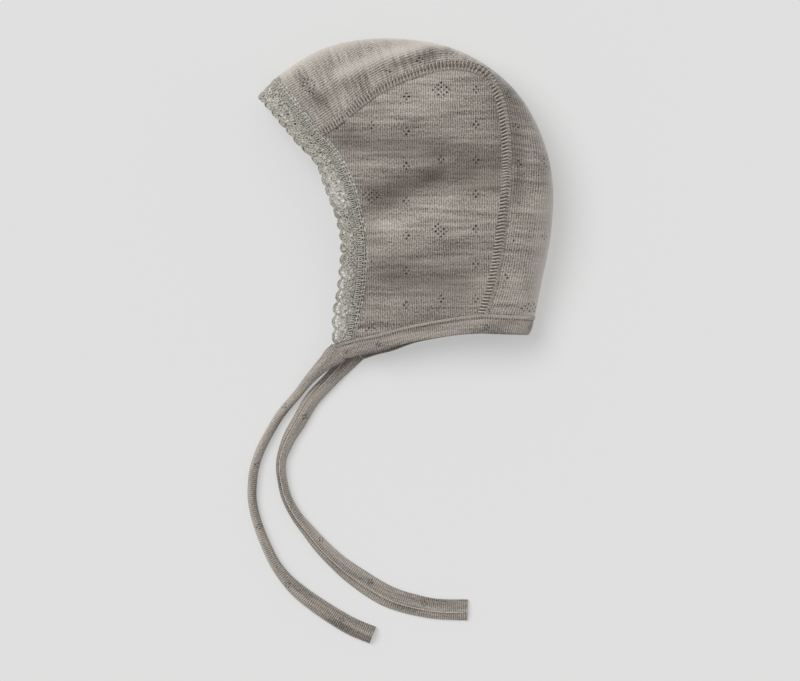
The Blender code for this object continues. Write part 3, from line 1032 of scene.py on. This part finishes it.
def build_band(material):
    """The folded band, with its cord-like top edge and the needle line under it."""
    band = edging(NECK_EDGE, 1, NAPE_REACH, BAND_WALL)
    back = ((0.96, -0.85), (0.80, -1.15), (0.50, -1.20), (0.20, -1.15), (0.03, -0.85))
    profile = rounded_profile(BAND_FACE, BAND_STEPS, back)
    rows = len(profile) - 1
    stitches = round(band.length / STITCH_PITCH)
    pitch = band.length / stitches
    places = pit_places(BAND_MOTIFS)

    def parts(u, v):
        index = np.round(v * rows).astype(int)
        along, share, face = u * band.length, profile[index, 0], index < BAND_STEPS
        pit = spots(along, share * BAND_WIDTH, places, PIT_RADIUS) * face
        return along, share, face, pit, profile[index, 1] * MM

    def place(u, v):
        along, share, face, pit, height = parts(u, v)
        rib = RIB_DEPTH * np.cos(along * math.tau / WALE) * face * np.clip(share * 9, 0, 1)
        twist = 0.00016 * np.cos((along / pitch - share * 4) * math.tau) * (share < 0.2) * face
        return band.at(along, share * band.width(along), height + rib + twist - PIT_DEPTH * pit)

    def knit_of(u, v):
        along, share = parts(u, v)[:2]
        return np.stack([along, share * BAND_WIDTH], 1)

    def marks_of(u, v):
        along, share, face, pit = parts(u, v)[:4]
        needle = bell(share, 0.238, 0.036) * face
        dots = np.cos(along * math.pi / pitch) ** 4
        cord = -0.20 * ((share > 0.02) & (share < 0.19) & face)
        # Painted shade along the band's lower fold and in the blind eyelet pits, and painted light where the
        # band turns round the nape away from the light.
        low_edge = 0.20 * bell(share, 1, 0.06)
        nape = bell(along, band.length / 2, 0.012)
        marks = needle * (2.0 * dots - 0.10) + cord + low_edge + pit
        return np.clip(marks - (0.08 + 0.35 * nape) * face, -1, 1)

    piece = tube_sheet(stitches * 4, rows, place, knit_of, marks_of)
    finish_piece(piece, "neck_band_knit", material, ["neck_band"])


def curl_angle(width):
    """Half the angle that a tape turns through where it shows a share of its width."""
    table = np.linspace(0.05, 1.03 * math.pi, 400)
    shown = np.sin(np.minimum(table, math.pi / 2)) / table
    shown = shown + TIE_SHEET / TIE_WIDTH * np.clip((table - 0.9) / 0.67, 0, 1)
    return np.interp(-width, -shown, table)


TIE_FACE = ((0.0, 0.0), (0.02, 0.60), (0.07, 0.92), (0.15, 1.0), (0.85, 1.0), (0.93, 0.92),
            (0.98, 0.60), (1.0, 0.0))
LEFT_MOTIFS = ((0.0405, 0.0012), (0.0750, -0.0012), (0.1087, -0.0004), (0.1430, 0.0015),
               (0.1771, -0.0005))
RIGHT_MOTIFS = ((0.0440, -0.0014), (0.1025, -0.0036), (0.1195, -0.0024), (0.1546, -0.0023),
                (0.1867, -0.0016))


def build_tie(name, route, start, height, materials, replaced, motifs, sewn):
    """A flat knitted tape on its route, curled in where it shows less than its width."""
    row = smooth(route, np.linspace(0, 1, TIE_POINTS))
    first = np.array([route[1].x, route[1].y, 0.0])
    origin = start + unit(first) * SEAM_GAP
    line = np.stack([row.x, row.y, np.zeros(TIE_POINTS)], 1) + origin
    distance = run_along(line)
    heading = unit(np.gradient(line, distance, axis=0))
    sideways = unit(np.cross(heading, np.array([0.0, 0.0, 1.0])))
    curl = curl_angle(row.width)
    underside = row.lift * (height - TIE_SHEET / 2)
    back = ((0.97, -0.60), (0.90, -0.95), (0.66, -1.0), (0.34, -1.0), (0.10, -0.95), (0.03, -0.60))
    profile = rounded_profile(TIE_FACE, TIE_STEPS, back)
    rows = len(profile) - 1
    places = pit_places(motifs)

    def read(values, along):
        return read_rows(distance, values, along)

    def surface(along, share, offset):
        """Points at shares of the tape's width and at offsets from its middle layer."""
        bend = read(curl, along)
        radius = TIE_WIDTH / (2 * bend)
        turn = bend * (2 * share - 1)
        lateral = (radius + offset) * np.sin(turn)
        lift = read(underside, along) + TIE_SHEET / 2 - radius * np.cos(bend)
        lift = lift + (radius + offset) * np.cos(turn)
        point = read(line, along) + read(sideways, along) * lateral[..., None]
        point[..., 2] += lift
        return point

    def seam_share(along):
        """The share of the width at which a lengthwise seam runs."""
        bend = read(curl, along)
        return 0.5 + np.arcsin(0.26 * np.sin(np.minimum(bend, math.pi / 2))) / (2 * bend)

    def parts(u, v):
        index = np.round(v * rows).astype(int)
        along, share = u * distance[-1], profile[index, 0]
        face = (index < TIE_STEPS) & (share > 0.03) & (share < 0.97)
        pit = spots(along, (share - 0.5) * TIE_WIDTH, places, PIT_RADIUS) * face
        return along, share, face, pit, profile[index, 1]

    def place(u, v):
        along, share, face, pit, side = parts(u, v)
        rib = RIB_DEPTH * np.cos(along * math.tau / TIE_RIB) * face
        return surface(along, share, side * TIE_SHEET / 2 + rib - PIT_DEPTH * pit)

    def knit_of(u, v):
        along, share = parts(u, v)[:2]
        return np.stack([along * WALE / TIE_RIB, share * TIE_WIDTH], 1)

    def marks_of(u, v):
        along, share, face, pit = parts(u, v)[:4]
        # Painted light and shade along the tie: paler through the middle of its length and darker at the
        # tip, both most on one half, as a painted highlight. The blind eyelet pits are darkened as painted
        # shade.
        half = np.clip((0.42 - share) / 0.12 if sewn else (share - 0.50) / 0.14, 0, 1)
        tip = -0.9 if sewn else -1.7
        painted_light_along = np.interp(along / distance[-1], (0.0, 0.12, 0.6, 0.85, 1.0),
                         (0.0, 1.1, 1.15, -0.2, tip))
        marks = 0.9 * pit - (0.10 + painted_light_along * (0.06 + 0.28 * half)) * face
        if sewn:
            turn = read(curl, along) * (2 * share - 1)
            marks = marks + 0.6 * bell(share - seam_share(along), 0.045, 0.03) * face
            # A painted shadow line along the sewn tie's curled edge.
            marks = marks + 0.45 * np.clip((np.sin(turn) - 0.8) / 0.2, 0, 1) * face
        return np.clip(marks, -1, 1)

    piece = tube_sheet(round(distance[-1] / TIE_RIB) * 4, rows, place, knit_of, marks_of)
    finish_piece(piece, name, materials[0], [replaced])
    centre = line + np.array(FRAME_SHIFT)
    centre[:, 2] = underside + TIE_SHEET / 2 + TIE_WIDTH / (2 * curl) * (1 - np.cos(curl)) / 2
    if sewn:
        along = np.arange(MM, distance[-1] - MM, THREAD_STEP)
        wobble = 0.006 * np.sin(along * math.tau / 0.0026)
        offset = np.full(len(along), TIE_SHEET / 2 + 0.0001)
        ridge = strands([surface(along, seam_share(along) + wobble, offset)], TIE_SEAM_THREAD)
        finish_piece(ridge, name + "_seam", materials[1])


def build_ties(*materials):
    """The two ties, from the ends of the band."""
    zero = np.zeros(1)
    ends = []
    for wall in (None, BAND_WALL):
        inner = edge_point(NECK_EDGE, zero, 0, wall)[0]
        outer = edge_point(NECK_EDGE, zero, 1, wall)[0]
        ends.append((inner + outer) / 2)
    height = ends[0][2]
    flat = np.array([1.0, 1.0, 0.0])
    for side, route, end, motifs, sewn in (("left", LEFT_TIE, ends[0], LEFT_MOTIFS, False),
                                           ("right", RIGHT_TIE, ends[1], RIGHT_MOTIFS, True)):
        build_tie(f"tie_{side}_knit", route, end * flat, height, materials, "tie_" + side, motifs,
                  sewn)


# Lace

LACE_ROWS = ((0.0011, 0.0005, 0.0021), (0.0023, 0.0005, 0.0021), (0.0038, 0.0012, RUNG_PITCH))


def build_lace(header_material, net_material, pale_thread, edge_thread):
    """The stretch lace: a sewn header, and a net with rosettes and scallops."""
    lace = edging(FRONT_EDGE, 0, FOREHEAD_REACH, LACE_WALL)
    count = round(lace.length / SCALLOP_PITCH)
    pitch = lace.length / count
    chance = np.random.default_rng(LACE_SEED)

    def lay(along, across, height):
        """Points of the lace: across is a distance on lace of its usual width."""
        along, across, height = together(along, across, height)
        wave = 0.0006 * np.sin(along * math.tau / 0.0236 + 0.8)
        wave = wave + 0.0003 * np.sin(along * math.tau / 0.0101)
        stretch = lace.width(along) / LACE_WIDTH
        return lace.at(np.clip(along, 0, lace.length), across * stretch,
                       height + wave * (across / LACE_WIDTH) ** 2)

    def scallop(along):
        """How far out the scalloped edge is."""
        return LACE_WIDTH - SCALLOP_INSET + SCALLOP_DEPTH * np.abs(np.sin(along * math.pi / pitch)) ** 0.75

    piece, u, v = grid(int(lace.length / HEADER_CELL), 12)
    along, across = u * lace.length, v * HEADER_WIDTH
    ridge = 0.0003 * np.sin(v * math.pi) + 0.0002 * np.cos(v * 4 * math.pi)
    points = lay(along, across, ridge)
    plain = np.clip((points[:, 1] + 0.010) / 0.012, 0, 1) * (across < 0.0028)
    shape(piece, points, np.stack([along, across], 1), -0.14 * plain)
    solidify(piece, HEADER_WALL)
    finish_piece(piece, "lace_header", header_material, ["lace_trim"])

    ladder = []
    for number in range(int(lace.length / RUNG_PITCH)):
        start = (number + 0.5) * RUNG_PITCH
        lean = 0.0003 * math.sin(number * 1.7)
        share = np.array([0.0, 0.2, 0.8, 1.0])
        ladder.append(lay(start + lean * share, 0.0027 + 0.0022 * share,
                          np.array([0.45, 0.80, 0.80, 0.45]) * MM))
    steps = np.arange(0, lace.length, THREAD_STEP)
    ladder.append(lay(steps, 0.0017, 0.00055))
    finish_piece(strands(ladder, HEADER_THREAD), "lace_header_stitches", pale_thread)

    openings, pits, raised, glints = [], [], [], []
    for number in range(count):
        middle = (number + 0.5) * pitch
        for share in (-0.30, -0.11, 0.09, 0.28):
            along = middle + (share + chance.uniform(-0.02, 0.02)) * pitch
            if chance.random() < 0.85:
                radius = chance.uniform(0.0006, 0.0011) * (1.3 if along > lace.length / 2 else 1.0)
                openings.append((along, float(scallop(along)) - 0.0019, radius))
        for turn in range(6):
            angle = turn * math.pi / 3 + 0.3
            if chance.random() < 0.6:
                pits.append((middle + 0.0017 * math.cos(angle),
                             ROSETTE_LINE + 0.0016 * math.sin(angle)))
        openings.append((middle + 0.5 * pitch, 0.0089 + chance.uniform(-0.0004, 0.0004), 0.0008))
        raised.append((middle, ROSETTE_LINE))
        raised.append((middle + 0.5 * pitch, 0.0068))
        for third in range(3):
            if chance.random() < 0.7:
                pits.append((middle + third * pitch / 3, 0.0054 + chance.uniform(-0.0003, 0.0003)))
            glints.append((middle + chance.uniform(-0.45, 0.45) * pitch,
                           chance.uniform(0.0078, 0.0122)))

    piece, u, v = grid(int(lace.length / GROUND_CELL), 22)
    along = u * lace.length
    across = HEADER_WIDTH - 0.0001 + v * (scallop(along) - HEADER_WIDTH)
    marks, dome, glow = np.zeros((3, len(u)))
    order = np.argsort(along, kind="stable")
    sorted_along = along[order]
    # The pits are shallow dimples whose dark mark is painted shade, standing in for the shade seen through
    # the net's holes.
    for places, values, radius in ((pits, marks, 0.00058), (raised, dome, 0.0013),
                                   (glints, glow, 0.0005)):
        for place_along, place_across in places:
            first, last = np.searchsorted(sorted_along, (place_along - MARK_REACH, place_along + MARK_REACH))
            near = order[first:last]
            square = (along[near] - place_along) ** 2 + (across[near] - place_across) ** 2
            values[near] = np.maximum(values[near], np.exp(-square / radius ** 2))
    knit = np.stack([along, across], 1)
    centres = knit[quads(piece)].mean(axis=1)
    cut = np.zeros(len(centres), dtype=bool)
    for place_along, place_across, radius in openings:
        cut |= np.hypot(centres[:, 0] - place_along, centres[:, 1] - place_across) < radius
    points = lay(along, across, 0.0005 * dome - 0.0003 * marks)
    shape(piece, points, knit, marks - 1.3 * glow + soft_lines(points, LACE_PAINTED_LIGHT_AND_SHADE))
    delete_faces(piece, cut)
    solidify(piece, GROUND_WALL)
    finish_piece(piece, "lace_ground", net_material)

    net = []
    low, high = HEADER_WIDTH, LACE_WIDTH - 0.0022
    for number in range(-5, count * 3 + 5):
        start = number * pitch / 3
        for lean in (high - low, low - high):
            share = np.linspace(0, 1, 8)
            along = start + lean * share
            keep = (along >= 0) & (along <= lace.length)
            if keep.sum() > 2:
                height = 0.00034 + 0.0001 * np.sign(lean)
                net.append(lay(along, low + (high - low) * share, height)[keep])
    for place_along, place_across, radius in openings:
        turn = np.linspace(0, math.tau, 8)
        ring = (radius + 0.00012) * np.array([np.cos(turn), np.sin(turn)])
        if place_along + 0.001 < lace.length:
            net.append(lay(place_along + ring[0], place_across + ring[1], 0.0002))
    finish_piece(strands(net, NET_THREAD), "lace_net", pale_thread)

    cords = []
    for number in range(count):
        middle = (number + 0.5) * pitch
        turn = np.linspace(0, math.tau, 11)
        cords.append(lay(middle + 0.0011 * np.cos(turn), ROSETTE_LINE + 0.0010 * np.sin(turn),
                         0.00065))
        for petal in range(5):
            angle = math.pi * (0.1 + 0.2 * petal)
            reach = np.array([0.0017, 0.0023, 0.0029])
            cords.append(lay(middle + reach * math.cos(angle),
                             ROSETTE_LINE + reach * math.sin(angle) * 0.85,
                             np.array([0.3, 0.55, 0.3]) * MM))
    finish_piece(strands(cords, ROSETTE_THREAD), "lace_rosettes", pale_thread)

    along = np.linspace(0, lace.length, count * 24)
    picots = 0.00022 * np.abs(np.sin(along * 5 * math.pi / pitch))
    border = [lay(along, scallop(along) - 0.0001 + picots, 0.0001),
              lay(along, scallop(along) - 0.0009, 0.0003)]
    finish_piece(strands(border, SCALLOP_THREAD, 1), "lace_scallops", edge_thread)


# Stage

def build_stage():
    """A plain pale floor, soft light from the upper left, and the camera straight above."""
    bpy.ops.mesh.primitive_plane_add(size=4, location=(0, 0, -0.0002))
    floor = bpy.context.object
    floor.name = "floor"
    n = Nodes("pale_floor")
    n.feed(n.shader, {
        "Base Color": (0.40, 0.40, 0.40, 1), "Roughness": 1.0, "Specular IOR Level": 0.0,
        "Emission Color": (1, 1, 1, 1), "Emission Strength": FLOOR_GLOW,
    })
    floor.data.materials.append(n.material)
    world = bpy.data.worlds.new("soft_room")
    world.use_nodes = True
    background = world.node_tree.nodes["Background"]
    background.inputs["Color"].default_value = (1, 1, 1, 1)
    background.inputs["Strength"].default_value = ROOM_LIGHT
    bpy.context.scene.world = world
    sun = bpy.data.lights.new("window", "SUN")
    sun.energy = WINDOW_LIGHT
    sun.angle = math.radians(40)
    lamp = bpy.data.objects.new("window", sun)
    bpy.context.collection.objects.link(lamp)
    toward = Vector((0.45, -0.38, -0.85))
    lamp.rotation_euler = toward.to_track_quat("-Z", "Y").to_euler()
    camera = bpy.data.cameras.new("camera")
    camera.lens = LENS
    camera.sensor_width = SENSOR
    camera.clip_end = 20
    eye = bpy.data.objects.new("camera", camera)
    bpy.context.collection.objects.link(eye)
    eye.location = (*FRAME_CENTRE, FRAME_WIDTH * LENS / SENSOR)
    bpy.context.scene.camera = eye
    bpy.context.scene.view_settings.view_transform = "Standard"


def main():
    """Builds the camera and the ties first, and then every other piece."""
    build_stage()
    knit = melange_knit("melange_knit")
    band = melange_knit("band_knit", shade=0.98, contrast=0.8)
    seam_thread = thread("seam_thread", YARN_PALE_AND_HIGHLIGHT, YARN_MIDDLE)
    header = lace_cloth("lace_header_cloth", LACE_ROWS)
    net = lace_cloth("lace_net_cloth", ())
    lace_thread = thread("lace_thread", LACE_PALE, LACE_MIDDLE)
    lace_edge = thread("lace_edge_thread", LACE_PALE, LACE_DARK)
    build_ties(band, seam_thread)
    build_band(band)
    build_side_panels(knit)
    build_centre_panel(knit)
    build_seam(band, seam_thread)
    build_lace(header, net, lace_thread, lace_edge)


main()
